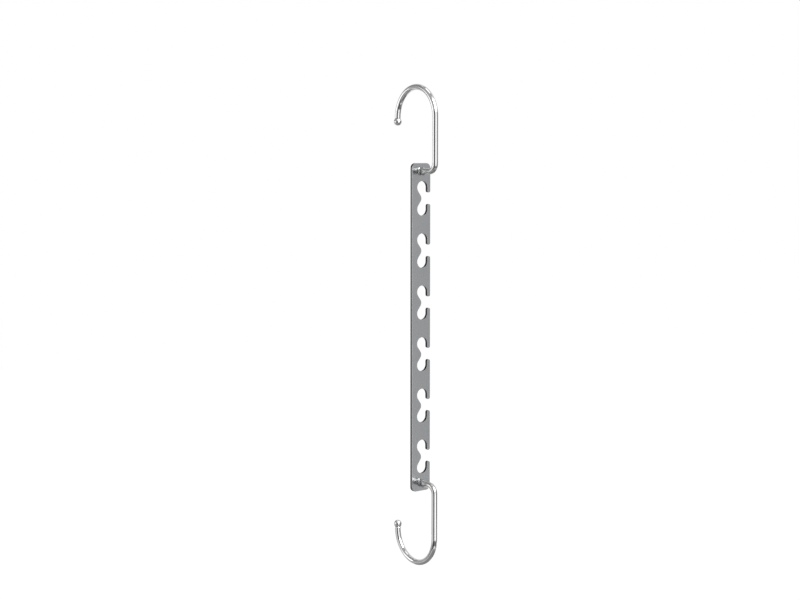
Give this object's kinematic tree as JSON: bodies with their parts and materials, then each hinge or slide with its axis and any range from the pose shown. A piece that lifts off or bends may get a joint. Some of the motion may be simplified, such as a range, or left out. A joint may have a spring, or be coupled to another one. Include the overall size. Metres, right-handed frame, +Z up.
{
  "type": "cascading hanger bar",
  "caption": "Flat slotted metal bar with a ball-tipped wire hook swivelling on each end, which hangs clothes hangers one below another.",
  "frame": {"origin": "the point under the upper hook's crown where the hook rests on a rod", "axes": "+Z up along the bar, +X towards the side that the slots open on, -Y towards the front, where the hooks' stubs leave the bar"},
  "size_m": [0.0186, 0.0535, 0.3924],
  "materials": {
    "bar_steel": "satin nickel-plated pressed steel",
    "hook_chrome": "bright chrome plate on steel wire"
  },
  "bodies": {
    "upper_hook_body": {"upper_hook": "hook_chrome", "upper_ball_tip": "hook_chrome"},
    "bar_body": {"slotted_bar": "bar_steel"},
    "lower_hook_body": {"lower_hook": "hook_chrome", "lower_ball_tip": "hook_chrome"}
  },
  "joints": [
    {"name": "upper_swivel", "type": "hinge", "parent": "upper_hook_body", "child": "bar_body", "pos_m": [0, -0.0055, -0.0647], "axis": [0, 1, 0], "range_deg": [-165, 165]},
    {"name": "lower_swivel", "type": "hinge", "parent": "bar_body", "child": "lower_hook_body", "pos_m": [0, -0.0055, -0.3181], "axis": [0, 1, 0], "range_deg": [-165, 165]}
  ]
}
